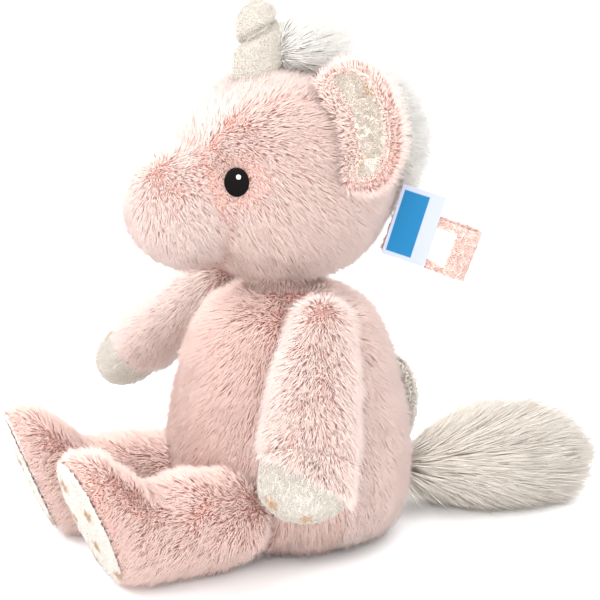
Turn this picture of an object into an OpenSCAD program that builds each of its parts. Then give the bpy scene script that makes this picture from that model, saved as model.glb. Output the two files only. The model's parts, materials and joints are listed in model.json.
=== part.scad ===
// Seated plush unicorn: sewn fabric covers over stuffing, with a soft horn, a furry mane and tail,
// and a woven label and hanging loop at the nape.
// The toy faces -Y, its left side is +X, up is +Z. The origin is the middle of the flat seat.

/* [Torso] */
// Width of the torso at its widest
torso_w = 133; // [111:1:160]
// Depth of the torso, chest to back
torso_d = 127; // [106:1:152]
// Height of the torso, seat to neck seam
torso_h = 139; // [116:1:167]
// Width of the neck end as a share of the widest part
neck_share = 0.5; // [0.42:0.01:0.6]

/* [Head] */
// Width of the head, ear to ear
head_w = 120; // [100:1:144]
// Depth of the head without the muzzle
head_d = 118; // [98:1:142]
// Height of the head
head_h = 114; // [95:1:137]
// Width of the muzzle
muzzle_w = 68; // [57:1:82]
// Width of the centre gusset that runs from nose to nape
gusset_w = 26; // [21:1:31]
// Diameter of an embroidered eye
eye_d = 14.5; // [12:0.5:17.5]

/* [Horn and mane] */
// Height of the horn above the head
horn_h = 37; // [31:1:45]
// Width of the horn at its foot
horn_w = 23; // [19:0.5:27.5]
// Width of the mane strip
mane_w = 30; // [25:1:36]
// Height of the forelock behind the horn
forelock_h = 22; // [18:1:26]

/* [Ears] */
// Height of an ear, along its seam
ear_h = 66; // [55:1:79]
// Width of an ear, away from the head
ear_w = 36; // [30:1:44]

/* [Arms] */
// Length of an arm, shoulder seam to paw tip
arm_l = 101; // [84:1:122]
// Width of the sleeve at the cuff
arm_w = 52; // [43:1:62]
// Thickness of the sleeve
arm_t = 38; // [32:1:45]
// Length of the paw beyond the cuff
paw_l = 32; // [26:1:38]

/* [Legs] */
// Length of a leg, hip seam to sole
leg_l = 73; // [61:1:88]
// Width of a leg
leg_w = 52; // [43:1:62]
// Height of a leg lying on the floor
leg_t = 54; // [45:1:64]
// Height of a foot, heel to toe
foot_h = 80; // [66:1:96]
// Lean of the sole, toe forwards
sole_lean = 22; // [15:1:26]

/* [Tail] */
// Length of the tail
tail_l = 122; // [102:1:147]
// Width of the tail at its fullest
tail_w = 60; // [50:1:72]

/* [Labels] */
// Width of the hanging loop's ribbon
loop_w = 27; // [22:1:32]
// Length of the hanging loop
loop_l = 46; // [38:1:56]
// Height of the woven label
label_h = 38; // [31:1:45]
// Width of the woven label
label_w = 23; // [19:1:27]

/* [Fabric] */
// Thickness of a plush cover, backing and pile root together
cover = 2.6; // [2.1:0.1:3.2]
// Space between pieces of bodies that move on each other
play = 0.6; // [0.5:0.05:0.75]

/* [Hidden] */

pink = "#e9cdc6";
deep_pink = "#dfa99c";
cream = "#eae3d8";
white = "#e3dfd6";
thread_black = "#15110f";
wadding = "#f4f2ee";

far = 600;
rest_gap = 0.05;   // slack between a cover and its stuffing
LEFT = 1;
RIGHT = -1;

// Vectors, smooth tables and rings ------------------------------------------------------------
function unit(v) = v / norm(v);
function across(direction, towards) = unit(towards - (towards * direction) * direction);
function signed_power(x, power) = sign(x) * pow(abs(x), power);

// Row of a table [place, value, value, ...] at a place, by a Catmull-Rom curve through its rows
function span_of(table, place, i = 0) =
    i >= len(table) - 2 || place <= table[i + 1][0] ? i : span_of(table, place, i + 1);
function slope(table, i) = let (a = max(i - 1, 0), b = min(i + 1, len(table) - 1))
    (table[b] - table[a]) / (table[b][0] - table[a][0]);
function at(table, place) = let (
        i = span_of(table, place),
        step = table[i + 1][0] - table[i][0],
        t = (place - table[i][0]) / step,
        m0 = slope(table, i) * step,
        m1 = slope(table, i + 1) * step)
    (2 * t * t * t - 3 * t * t + 1) * table[i] + (t * t * t - 2 * t * t + t) * m0
        + (3 * t * t - 2 * t * t * t) * table[i + 1] + (t * t * t - t * t) * m1;

// A closed loop of points round a centre, half_u and half_v wide, squarer as the power rises
function ring(centre, u, v, half_u, half_v, sides, power = 2) =
    [for (i = [0:sides - 1]) let (a = 360 * i / sides)
        centre + u * half_u * signed_power(cos(a), 2 / power)
            + v * half_v * signed_power(sin(a), 2 / power)];

// Solid through a list of rings, closed by a point at each end
module skin(rings) {
    sides = len(rings[0]);
    last = len(rings) - 1;
    ends = [for (r = [rings[0], rings[last]]) [for (k = [0:2]) [for (p = r) p[k]] * [for (p = r) 1 / sides]]];
    points = concat([for (r = rings) each r], ends);
    tip = (last + 1) * sides;
    walls = [for (j = [0:last - 1], i = [0:sides - 1]) let (
            a = j * sides + i, b = j * sides + (i + 1) % sides)
        each [[a, a + sides, b], [b, a + sides, b + sides]]];
    foot = [for (i = [0:sides - 1]) [i, (i + 1) % sides, tip]];
    top = [for (i = [0:sides - 1]) [last * sides + (i + 1) % sides, last * sides + i, tip + 1]];
    polyhedron(points = points, faces = concat(walls, foot, top), convexity = 6);
}

// Rows of a station table [place, half_u, half_v, ...] with a rounded cap added at either end
function capped(table, steps, cap_start, cap_end, cap_steps = 4) = let (
        first = table[0], last = table[len(table) - 1])
    concat(
        cap_start <= 0 ? [] : [for (k = [0:cap_steps - 1]) let (a = 8 + 82 * k / cap_steps)
            shrunk(first, sin(a), first[0] - cap_start * cos(a))],
        [for (k = [0:steps]) at(table, first[0] + (last[0] - first[0]) * k / steps)],
        cap_end <= 0 ? [] : [for (k = [1:cap_steps]) let (a = 90 - 82 * k / cap_steps)
            shrunk(last, sin(a), last[0] + cap_end * cos(a))]);
function shrunk(row, share, place) = concat([place, row[1] * share, row[2] * share],
    [for (k = [3:1:len(row) - 1]) row[k]]);

// Ellipsoid of full widths w, its surface moved in by inset
module egg(centre, w, inset = 0, fn = 64)
    translate(centre) scale([for (k = [0:2]) w[k] / 2 - inset]) sphere(1, $fn = fn);

module floor_cut() intersection() {
    children();
    translate([-far, -far, 0]) cube([2 * far, 2 * far, far]);
}

// Torso ---------------------------------------------------------------------------------------
// Rows: share of the height, share of half the width. The first is the flat seat.
torso_shape = [[0, 0.70], [0.035, 0.84], [0.12, 0.955], [0.27, 1.0], [0.45, 0.98], [0.62, 0.91],
    [0.78, 0.82], [0.90, 0.68], [0.97, neck_share * 0.98], [1, neck_share * 0.66]];
torso_rings = 13;
torso_sides = 24;

function torso_half(z) = at(torso_shape, min(max(z / torso_h, 0), 1))[1];
// Point on the torso at a height and an angle, where 0 is the toy's left and 90 its back
function torso_point(z, angle, out = 0) =
    [(torso_half(z) * torso_w / 2 + out) * cos(angle), (torso_half(z) * torso_d / 2 + out) * sin(angle), z];

module torso_form(inset = 0)
    skin([for (k = [0:torso_rings]) let (
            share = pow(k / torso_rings, 1.15),
            z = inset + share * (torso_h - 2 * inset),
            half = at(torso_shape, share)[1])
        ring([0, 0, z], [1, 0, 0], [0, 1, 0], half * torso_w / 2 - inset, half * torso_d / 2 - inset,
            torso_sides, 2.15)]);

// What the limbs, the neck and the tail press into the torso
module torso_pockets() {
    for (side = [LEFT, RIGHT]) {
        way = arm_way(side);
        translate(shoulder(side)) sphere(shoulder_r + play, $fn = 40);
        // room for the sleeve to swing
        translate(shoulder(side)) rotate([0, acos(way[2]), atan2(way[1], way[0])])
            translate([0, 0, -2]) cylinder(r1 = shoulder_r + play - 1.5, r2 = shoulder_r + play - 1.5
                + sleeve_room * tan(19), h = sleeve_room, $fn = 40);
        translate(hip(side)) sphere(hip_r + play, $fn = 40);
        // room for the thigh to turn
        translate(hip(side)) rotate([90, 0, side * leg_splay[side > 0 ? 0 : 1]])
            translate([0, 0, -2]) cylinder(r1 = hip_r + play - 2, r2 = hip_r + play - 2
                + thigh_room * tan(33), h = thigh_room, $fn = 40);
    }
    translate(neck) sphere(neck_r + play, $fn = 40);
    translate(tail_root) sphere(tail_root_r + play, $fn = 32);
}

module torso_cover() difference() {
    torso_form();
    torso_form(cover);
    torso_pockets();
}

module torso_front() color(deep_pink) intersection() {
    torso_cover();
    translate([-far, -2 * far, -far]) cube([2 * far, 2 * far, 2 * far]);
}

module torso_back() color(pink) intersection() {
    torso_cover();
    translate([-far, 0, -far]) cube([2 * far, 2 * far, 2 * far]);
}

module torso_stuffing() color(wadding) difference() {
    torso_form(cover + rest_gap);
    torso_pockets();
}

// Soft pouch sewn on the lower back, open at its top edge
pouch_w = torso_w * 0.4;
pouch_h = torso_h * 0.36;
pouch_t = 8;
pouch_z = torso_h * 0.46;
module back_pouch() color(cream) difference() {
    translate([0, torso_half(pouch_z) * torso_d / 2 - 1, pouch_z]) rotate([-9, 0, 0])
        scale([pouch_w / 2, pouch_t, pouch_h / 2]) sphere(1, $fn = 22);
    torso_form();
}

// Neck ----------------------------------------------------------------------------------------
neck = [0, -3, torso_h + 2];
neck_r = 17;
module neck_stuffing() color(wadding) translate(neck) sphere(neck_r, $fn = 40);

// Head ----------------------------------------------------------------------------------------
head_lift = 5;                   // space between the torso's top and the head's neck opening
head_sink = 8;                   // how far the round of the head would reach into the neck
head_centre = [0, -4, torso_h + head_lift - head_sink + head_h / 2];
head_size = [head_w, head_d, head_h];
muzzle_r = min(muzzle_w, head_w * 0.58) / 2;  // a narrow head keeps it clear of the eyes
muzzle_centre = head_centre + [0, -0.45 * head_d, -0.1 * head_h];

// Point on the head at a turn from the front towards the toy's left, and a rise above level
function head_way(turn, rise) = [cos(rise) * sin(turn), -cos(rise) * cos(turn), sin(rise)];
function head_point(turn, rise) = let (way = head_way(turn, rise))
    head_centre + [for (k = [0:2]) way[k] * head_size[k] / 2];
function head_out(turn, rise) = let (way = head_way(turn, rise))
    unit([for (k = [0:2]) way[k] / head_size[k]]);

module above_neck(lift = 0) intersection() {
    children();
    translate([-far, -far, torso_h + head_lift + lift]) cube([2 * far, 2 * far, far]);
}

module head_form(inset = 0) above_neck(max(inset, 0)) egg(head_centre, head_size, inset);
module muzzle_form(inset = 0) translate(muzzle_centre) sphere(muzzle_r - inset, $fn = 64);

module head_cover() difference() {
    head_form();
    head_form(cover);
    muzzle_form(cover);
    translate(neck) sphere(neck_r + play, $fn = 40);
}

// The gusset is narrow at the nose and down the nape, and wide over the crown
module gusset_cut() {
    crown = head_w * 0.31;
    translate([-gusset_w / 2, 0, -far]) cube([gusset_w, far, 2 * far]);
    translate([-gusset_w / 2, -far, muzzle_centre[2]]) cube([gusset_w, 2 * far, far]);
    translate([0, head_centre[1], head_centre[2]]) linear_extrude(far) polygon([
        [gusset_w / 2, -head_d / 2], [crown, 0], [crown, head_d * 0.2], [gusset_w / 2, head_d / 2],
        [-gusset_w / 2, head_d / 2], [-crown, head_d * 0.2], [-crown, 0], [-gusset_w / 2, -head_d / 2]]);
}

module head_side(side) color(pink) intersection() {
    difference() {
        head_cover();
        gusset_cut();
    }
    translate([side > 0 ? 0 : -far, -far, -far]) cube([far, 2 * far, 2 * far]);
}

module head_gusset() color(pink) intersection() {
    head_cover();
    gusset_cut();
}

module muzzle_cover() color(pink) difference() {
    muzzle_form();
    muzzle_form(cover);
    egg(head_centre, head_size);
}

module head_stuffing() color(wadding) difference() {
    union() {
        head_form(cover + rest_gap);
        muzzle_form(cover + rest_gap);
    }
    translate(neck) sphere(neck_r + play, $fn = 40);
}

// Eyes: flat satin embroidery on the cover
eye_turn = 41;
eye_rise = 5;
thread = 0.9;
glint_d = 2.6;
module on_head(turn, rise) {
    out = head_out(turn, rise);
    translate(head_point(turn, rise)) rotate([0, acos(out[2]), atan2(out[1], out[0])]) children();
}

// Disc of satin stitches that lies on the head, with a hole where the glint is sewn
module eye(side) color(thread_black) on_head(side * eye_turn, eye_rise) difference() {
    rotate_extrude($fn = 48) polygon(concat(
        [for (k = [0:4]) [eye_d / 2 * k / 4, rest_gap - head_sag(eye_d / 2 * k / 4)]],
        [for (k = [0:4]) let (a = 90 * k / 4)
            [(eye_d / 2 - thread) * (k == 4 ? 0 : 1) + thread * cos(a) * (k == 4 ? 0 : 1),
                thread * (0.35 + 0.65 * sin(a))]]));
    glint_place() cylinder(d = glint_d + 0.02, h = 6, $fn = 24);
}
// How far the head falls away at a distance from the eye's middle
function head_sag(distance) = let (r = head_w * 0.54) r - sqrt(r * r - distance * distance);

module glint_place() translate([-eye_d * 0.2, eye_d * 0.12, -3]) children();

module eye_glint(side) color("white") on_head(side * eye_turn, eye_rise) intersection() {
    glint_place() cylinder(d = glint_d, h = 6, $fn = 24);
    translate([-eye_d, -eye_d, rest_gap]) cube([2 * eye_d, 2 * eye_d, thread + 0.2]);
}

// Horn, forelock and mane ---------------------------------------------------------------------
horn_rise = 76;      // where the horn stands, measured up from the front
horn_lean = 3;       // degrees forward
horn_turns = 2.4;    // turns of the thread that pinches the horn
horn_foot = head_point(0, horn_rise);

// Radius of the horn at a share of its height, pinched where the thread goes round
function horn_r(share) = horn_w / 2 * (1 - 0.36 * share) * (1 - 0.10 * pow(abs(cos(180 * share * horn_turns + 20)), 6));
module horn_frame() translate(horn_foot) rotate([horn_lean, 0, 0]) children();
module horn_form(inset = 0) horn_frame() {
    top = horn_h - horn_w * 0.32;
    low = 10;
    rows = [for (k = [0:9]) let (share = k / 9) [horn_r(share) - inset, share * top]];
    rotate_extrude($fn = 32) polygon(concat([[0, -low]], [[horn_r(0) - inset, -low]], rows,
        [for (a = [15:15:75]) [(horn_r(1) - inset) * cos(a), top + (horn_w * 0.32 - inset) * sin(a)]],
        [[0, horn_h - inset]]));
}

module horn_cover() color(cream) difference() {
    horn_form();
    horn_form(cover * 0.6);
    egg(head_centre, head_size);
    horn_thread_path(0.75, 0.12);
}

module horn_stuffing() color(wadding) difference() {
    horn_form(cover * 0.6 + rest_gap);
    egg(head_centre, head_size);
    horn_thread_path(0.75, 0.12);
}

// Thread wound up the horn, which pulls it into soft rolls
thread_r = 0.45;
module horn_thread_path(r, grow = 0) horn_frame() {
    steps = 34;
    top = horn_h - horn_w * 0.32;
    start = 0.17;
    line = [for (k = [0:steps]) let (
            share = start + (0.96 - start) * k / steps,
            a = 360 * horn_turns * 0.8 * k / steps)
        [(horn_r(share) + 0.1) * cos(a), (horn_r(share) + 0.1) * sin(a), share * top]];
    skin([for (k = [0:steps]) let (
            way = unit(line[min(k + 1, steps)] - line[max(k - 1, 0)]),
            u = across(way, [0, 0, 1]))
        ring(line[k], u, cross(way, u), r + grow, r + grow, 6)]);
}
module horn_thread() color(white) horn_thread_path(thread_r);

// A strip of fur along the middle of the head, from rise a to rise b, measured over the top
module fur_strip(from, to, heights, width, steps, power = 2) difference() {
    skin([for (k = [0:steps]) let (
            share = k / steps,
            rise = from + (to - from) * share,
            foot = head_point(0, rise),
            out = head_out(0, rise),
            height = at(heights, share)[1],
            end = pow(max(sin(180 * share), 0.04), 0.45))
        ring(foot + out * height * end * 0.3, [-1, 0, 0], out, width / 2 * end, height * end * 0.7, 14, power)]);
    egg(head_centre, head_size);
}

forelock_end = 124;
module forelock() color(white) difference() {
    fur_strip(79, forelock_end, [[0, forelock_h], [0.35, forelock_h * 1.1], [0.7, forelock_h],
        [1, forelock_h * 0.9]], mane_w * 1.1, 9);
    horn_form(-thread_r - play);
}

module mane() color(white)
    fur_strip(forelock_end + 1, 206, [[0, 24], [0.3, 26], [0.7, 20], [1, 12]], mane_w, 12);

// Ears ----------------------------------------------------------------------------------------
ear_turn = 96;        // where the ear's seam crosses the head's side, measured from the front
ear_rise = 30;
ear_tilt = 30;        // lean of the seam, its top end inwards
ear_fold = 34;        // how far the ear is swept back from straight out
ear_cup = 46;         // radius of the ear's hollow
ear_back_t = 3.4;
ear_lining_t = 2.6;
ear_stand = -5;       // the seam's middle lies this far out from the head, and its ends follow the head
function ear_seat(side) = head_point(side * ear_turn, ear_rise)
    + head_out(side * ear_turn, ear_rise) * ear_stand;
function ear_out(side) = head_out(side * ear_turn, ear_rise);
// Along the seam, at right angles to the head's surface there
function ear_seam(side) = across(ear_out(side), [-side * sin(ear_tilt), 0, cos(ear_tilt)]);

// Ear frame: +X away from the head, +Z up the seam, -Y the open front. The two ears mirror.
module ear_frame(side) mirror([side > 0 ? 0 : 1, 0, 0]) {
    out = ear_out(LEFT);
    seam = ear_seam(LEFT);
    back = cross(seam, out);
    translate(ear_seat(LEFT)) multmatrix([
        [out[0], back[0], seam[0], 0], [out[1], back[1], seam[1], 0], [out[2], back[2], seam[2], 0],
        [0, 0, 0, 1]]) rotate([0, 0, ear_fold]) children();
}

module ear_outline(inset = 0) intersection() {
    translate([ear_w * 0.35, 0]) resize([1.3 * ear_w - 2 * inset, ear_h - 2 * inset]) circle(d = 1, $fn = 40);
    translate([inset, -ear_h]) square([2 * ear_w, 2 * ear_h]);
}

module ear_shell(inner, outer, inset = 0) intersection() {
    rotate([90, 0, 0]) translate([0, 0, -ear_cup]) linear_extrude(2 * ear_cup) ear_outline(inset);
    translate([ear_w * 0.4, -ear_cup, -ear_h]) difference() {
        cylinder(r = ear_cup + outer, h = 2 * ear_h, $fn = 64);
        translate([0, 0, -1]) cylinder(r = ear_cup + inner, h = 2 * ear_h + 2, $fn = 64);
    }
    translate([-far, -ear_cup, -far]) cube([2 * far, far, 2 * far]);
}
module clear_of_head() difference() {
    children();
    egg(head_centre, head_size, -play - 0.8);
}

module ear_back(side) color(pink) clear_of_head() ear_frame(side) ear_shell(0, ear_back_t);
module ear_lining(side) color(cream) clear_of_head() ear_frame(side) ear_shell(-ear_lining_t, 0, 3);

// Arms ----------------------------------------------------------------------------------------
shoulder_r = arm_t / 2 - 1;
shoulder_z = torso_h * 0.9;
shoulder_bury = 0.5;             // how deep the arm's round root sits in the torso
function shoulder(side) = torso_point(shoulder_z, side > 0 ? -12 : 192, shoulder_r - shoulder_bury);
// The left arm hangs at the side and a little forward, and the right one stands out
arm_turn = 34;                   // degrees that the arm's flat is turned to the front
arm_ways = [[0.5, -0.38, -0.78], [-0.70, -0.36, -0.62]];
function arm_way(side) = unit(arm_ways[side > 0 ? 0 : 1]);
cuff = arm_l - paw_l;
arm_steps = 9;
sleeve_room = arm_l * 0.6;       // length of the hollow that the torso keeps for a sleeve

module arm_form(side, rows, cap_start, cap_end, steps) {
    way = arm_way(side);
    u = across(way, [side * cos(arm_turn), -sin(arm_turn), 0]);   // the flat of the arm faces the torso
    skin([for (row = capped(rows, steps, cap_start, cap_end))
        ring(shoulder(side) + way * row[0], u, cross(way, u), row[1], row[2], 18)]);
}

// Rows: distance from the shoulder seam, half thickness, half width
function sleeve_rows(inset) = [[0, shoulder_r - inset, shoulder_r - inset],
    [cuff * 0.35, arm_t * 0.49 - inset, arm_w * 0.43 - inset],
    [cuff * 0.75, arm_t * 0.5 - inset, arm_w * 0.49 - inset],
    [cuff - (inset > 0 ? inset : 0), arm_t * 0.5 - inset, arm_w * 0.5 - inset]];
function paw_rows(inset) = [[cuff, arm_t * 0.45 - inset, arm_w * 0.44 - inset],
    [cuff + paw_l * 0.42, arm_t * 0.45 - inset, arm_w * 0.45 - inset]];

module arm_sleeve(side) color(pink) difference() {
    arm_form(side, sleeve_rows(0), shoulder_r, 0, arm_steps);
    arm_form(side, sleeve_rows(cover), shoulder_r - cover, 0, arm_steps);
    arm_form(side, [[cuff - 2 * cover, arm_t * 0.45 - cover, arm_w * 0.44 - cover],
        [cuff + 1, arm_t * 0.45 - cover, arm_w * 0.44 - cover]], 0, 0, 1);
}

module arm_paw(side) color(cream) difference() {
    arm_form(side, paw_rows(0), 0, paw_l * 0.58, 3);
    arm_form(side, [[cuff - 1, arm_t * 0.45 - cover, arm_w * 0.44 - cover],
        [cuff + paw_l * 0.42, arm_t * 0.45 - cover, arm_w * 0.45 - cover]], 0, paw_l * 0.58 - cover, 3);
}

module arm_stuffing(side) color(wadding) union() {
    arm_form(side, sleeve_rows(cover + rest_gap), shoulder_r - cover - rest_gap, 0, arm_steps);
    arm_form(side, [[cuff - 2 * cover, arm_t * 0.45 - cover - rest_gap, arm_w * 0.44 - cover - rest_gap],
        [cuff + paw_l * 0.42, arm_t * 0.45 - cover - rest_gap, arm_w * 0.45 - cover - rest_gap]],
        0, paw_l * 0.58 - cover - rest_gap, 3);
}

// Legs ----------------------------------------------------------------------------------------
hip_r = leg_t / 2 - 1;
hip_spread = 0.27;               // hip's distance from the middle, as a share of the torso's width
leg_splay = [3, 13];             // degrees that each leg opens outwards, left then right
function hip(side) = [side * torso_w * hip_spread,
    -torso_d / 2 * sqrt(1 - pow(2 * hip_spread, 2)) - 2, leg_t / 2];
leg_steps = 9;
thigh_room = 30;                 // length of the hollow that the torso keeps for a thigh

// Rows: distance from the hip, half width, half height, lean of the ring
function leg_rows(inset, inset_end = 0) = [[0, hip_r - inset, hip_r - inset, 0],
    [leg_l * 0.35, leg_w * 0.5 - inset, leg_t * 0.5 - inset, 0],
    [leg_l * 0.58, leg_w * 0.465 - inset, leg_t * 0.485 - inset, sole_lean * 0.3],
    [leg_l * 0.8, leg_w * 0.47 - inset, foot_h * 0.475 - inset, sole_lean * 0.8],
    [leg_l - inset_end, leg_w * 0.44 - inset, foot_h * 0.49 - inset, sole_lean]];

// The heel of every ring rests on the floor
function leg_ring(side, row, floor, sides) = let (
        splay = leg_splay[side > 0 ? 0 : 1] * side,
        ahead = [sin(splay), -cos(splay), 0],
        wide = [cos(splay), sin(splay), 0],
        up = [0, 0, cos(row[3])] + ahead * sin(row[3]),
        round_up = max(row[0], 0) <= 0 ? hip(side)[2] : row[2] * cos(row[3]) + floor)
    ring([hip(side)[0], hip(side)[1], round_up] + ahead * row[0], wide, up, row[1], row[2], sides,
        row[0] <= 0 ? 2 : 2.2);

module leg_form(side, inset = 0, inset_end = 0) floor_cut()
    skin([for (row = capped(leg_rows(inset, inset_end), leg_steps, hip_r - inset, 0))
        leg_ring(side, row, inset, 20)]);

module leg_cover(side) color(pink) difference() {
    leg_form(side);
    leg_form(side, cover, -1);
}

module leg_stuffing(side) color(wadding) intersection() {
    leg_form(side, cover + rest_gap, -1);
    leg_form(side);
}

// A low dome of printed fleece that closes the foot
sole_t = 4;
module leg_sole(side) color(cream) {
    end = leg_rows(0)[4];
    floor_cut() skin([for (k = [0:3]) let (a = 90 * k / 3)
        leg_ring(side, [end[0] + 0.02 + sole_t * sin(a), end[1] * (0.28 + 0.66 * cos(a)),
            end[2] * (0.28 + 0.66 * cos(a)), end[3]], end[2] * cos(end[3]) * 0.72 * (1 - 0.92 * cos(a)), 20)]);
}

// Tail ----------------------------------------------------------------------------------------
tail_root_r = tail_w * 0.2;
tail_root = [0, torso_point(tail_w * 0.42, 90)[1] + tail_root_r - 3, tail_w * 0.42];
tail_turn = -12;                 // degrees that the tail points to the toy's right
function tail_rows(inset) = [[0, tail_root_r - inset, tail_root_r - inset],
    [tail_l * 0.3, tail_w * 0.44 - inset, tail_w * 0.4 - inset],
    [tail_l * 0.58, tail_w * 0.5 - inset, tail_w * 0.47 - inset],
    [tail_l * 0.82, tail_w * 0.42 - inset, tail_w * 0.41 - inset]];
backing_t = 3;

module tail_form(inset = 0) {
    ahead = [-sin(tail_turn), cos(tail_turn), 0];
    wide = -[cos(tail_turn), sin(tail_turn), 0];
    skin([for (row = capped(tail_rows(inset), 8, tail_root_r - inset, tail_l * 0.18 - inset, 3)) let (
            share = min(max(row[0] / tail_l, 0), 1))
        ring([tail_root[0], tail_root[1], max(tail_w * 0.41 - share * 3, row[2] - 2)] + ahead * row[0],
            wide, [0, 0, 1], row[1], row[2], 18)]);
}

module tail_floor(lift) intersection() {
    children();
    translate([-far, -far, lift]) cube([2 * far, 2 * far, far]);
}

module tail_fur() color(white) difference() {
    tail_floor(backing_t) tail_form();
    tail_form(cover * 2);
}
module tail_backing() color(deep_pink) difference() {
    tail_floor(0) tail_form();
    tail_floor(backing_t) tail_form(-1);
}
module tail_stuffing() color(wadding) tail_floor(backing_t) tail_form(cover * 2 + rest_gap);

// Label and loop at the nape ------------------------------------------------------------------
nape_turn = 143;                 // where the labels' seam is, measured from the front to the left
nape_rise = -23;
ribbon_t = 1.4;
label_t = 0.7;
loop_droop = 20;                 // degrees that the loop hangs below level
loop_depth = 13;                 // how far the loop stands open at its bend
loop_side = 3 - loop_depth / 2;  // place of the loop's middle, beside the label
nape_stand = play + 2.4;
nape = head_point(nape_turn, nape_rise) + head_out(nape_turn, nape_rise) * nape_stand;
loop_way = [0.52, 0.83, 0];      // level direction in which the loop stands out

// Nape frame: +X out from the head, +Y to the near face of the ribbon, +Z up
module nape_frame() {
    out = unit(loop_way);
    translate(nape) multmatrix([[out[0], out[1], 0, 0], [out[1], -out[0], 0, 0], [0, 0, 1, 0], [0, 0, 0, 1]])
        children();
}

// Folded ribbon, seen edge on, with a rounded bend at its far end
module hanging_loop() color(deep_pink) clear_of_head() nape_frame() rotate([0, loop_droop, 0])
    translate([0, loop_side, -loop_w / 2 - 2]) linear_extrude(loop_w) difference() {
        ribbon_outline(0);
        ribbon_outline(ribbon_t);
    }
module ribbon_outline(inset) hull() {
    translate([inset + 0.2, -1.6 + inset]) square([1, 3.2 - 2 * inset]);
    translate([loop_l - loop_depth / 2, 0]) circle(loop_depth / 2 - inset, $fn = 28);
}

care_w = 14;
care_h = 17;
care_start = label_w - 4;  // its inner end is tucked behind the woven label
module care_label() color("white") nape_frame() rotate([0, loop_droop, 0])
    translate([care_start, 0, -care_h / 2 - 2]) care_plate();
// Lies on the near face of the loop, which opens out towards its bend
module care_plate() {
    rise = atan2(loop_depth / 2 - 1.6, loop_l - loop_depth / 2 - 1);
    near = loop_side + 1.6 + care_start * tan(rise) + 0.12;
    translate([0, near, 0]) rotate([0, 0, rise]) cube([care_w, 0.5, care_h]);
}

module woven_label() color("#d9d9e0") clear_of_head() nape_frame() rotate([0, loop_droop - 3, 0])
    translate([0.3, 2.4, -label_h / 2 + 3]) rotate([0, 0, 3]) cube([label_w, label_t, label_h]);

// Assembly ------------------------------------------------------------------------------------
torso_front();
torso_back();
torso_stuffing();
back_pouch();
neck_stuffing();
head_side(LEFT);  // head_left
head_side(RIGHT);  // head_right
head_gusset();
muzzle_cover();
head_stuffing();
eye(LEFT);  // eye_left
eye(RIGHT);  // eye_right
eye_glint(LEFT);  // eye_glint_left
eye_glint(RIGHT);  // eye_glint_right
horn_cover();
horn_stuffing();
horn_thread();
forelock();
mane();
ear_back(LEFT);  // ear_left_back
ear_lining(LEFT);  // ear_left_lining
ear_back(RIGHT);  // ear_right_back
ear_lining(RIGHT);  // ear_right_lining
arm_sleeve(LEFT);  // arm_left_sleeve
arm_paw(LEFT);  // arm_left_paw
arm_stuffing(LEFT);  // arm_left_stuffing
arm_sleeve(RIGHT);  // arm_right_sleeve
arm_paw(RIGHT);  // arm_right_paw
arm_stuffing(RIGHT);  // arm_right_stuffing
leg_cover(LEFT);  // leg_left_cover
leg_sole(LEFT);  // leg_left_sole
leg_stuffing(LEFT);  // leg_left_stuffing
leg_cover(RIGHT);  // leg_right_cover
leg_sole(RIGHT);  // leg_right_sole
leg_stuffing(RIGHT);  // leg_right_stuffing
tail_fur();
tail_backing();
tail_stuffing();
woven_label();
hanging_loop();
care_label();
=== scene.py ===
import json
import math

import bmesh
import bpy
import numpy as np
from mathutils import Matrix, Vector
from mathutils.bvhtree import BVHTree
from mathutils.kdtree import KDTree


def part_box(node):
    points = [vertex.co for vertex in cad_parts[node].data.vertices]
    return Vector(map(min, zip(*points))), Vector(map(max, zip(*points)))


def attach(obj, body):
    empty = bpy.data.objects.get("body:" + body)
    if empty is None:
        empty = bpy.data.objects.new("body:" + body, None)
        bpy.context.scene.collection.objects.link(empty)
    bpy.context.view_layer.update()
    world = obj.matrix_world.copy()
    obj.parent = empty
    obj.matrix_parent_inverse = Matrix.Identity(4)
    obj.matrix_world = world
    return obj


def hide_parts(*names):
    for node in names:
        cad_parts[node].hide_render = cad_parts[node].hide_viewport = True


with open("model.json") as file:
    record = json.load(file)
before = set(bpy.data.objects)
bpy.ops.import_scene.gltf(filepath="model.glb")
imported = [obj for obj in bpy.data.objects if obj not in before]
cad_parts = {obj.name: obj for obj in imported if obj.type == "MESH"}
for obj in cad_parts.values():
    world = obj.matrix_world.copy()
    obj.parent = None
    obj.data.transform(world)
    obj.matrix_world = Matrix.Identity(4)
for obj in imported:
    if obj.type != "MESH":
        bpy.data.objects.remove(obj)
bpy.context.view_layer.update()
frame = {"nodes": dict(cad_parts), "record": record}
scene = bpy.context.scene

# Torso ---------------------------------------------------------------------------------------
# A pear-shaped sewn bag of knitted plush, turned right side out and filled with loose polyester
# fibre. The front panel is a deeper pink than the back. The pile is brushed down towards the seat.
torso_pile = 0.0075
torso_inset = 0.0020
torso_voxel = 0.0030
seat_height = 0.005
touching = 0.0012
parting_width = 0.004
parting_cut = 0.3
parting_deep = 0.6
joint_place = {
    joint["name"]: np.array(joint["pos_m"]) for joint in frame["record"]["behaviour"]["joints"]
}


def welded(name, *nodes):
    """A closed copy of the shape of one or more nodes, as an object of its own."""
    shape = bmesh.new()
    for node in nodes:
        shape.from_mesh(frame["nodes"][node].data)
    bmesh.ops.remove_doubles(shape, verts=shape.verts, dist=1e-5)
    mesh = bpy.data.meshes.new(name)
    shape.to_mesh(mesh)
    shape.free()
    return placed(name, mesh)


def placed(name, mesh):
    """An object at the origin that shows this mesh."""
    obj = bpy.data.objects.new(name, mesh)
    scene.collection.objects.link(obj)
    return obj


def applied(obj):
    """Turns what the object's modifiers make into its plain mesh."""
    bpy.context.view_layer.update()
    graph = bpy.context.evaluated_depsgraph_get()
    mesh = bpy.data.meshes.new_from_object(obj.evaluated_get(graph))
    mesh.name = obj.name
    obj.modifiers.clear()
    obj.data = mesh
    return obj


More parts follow.
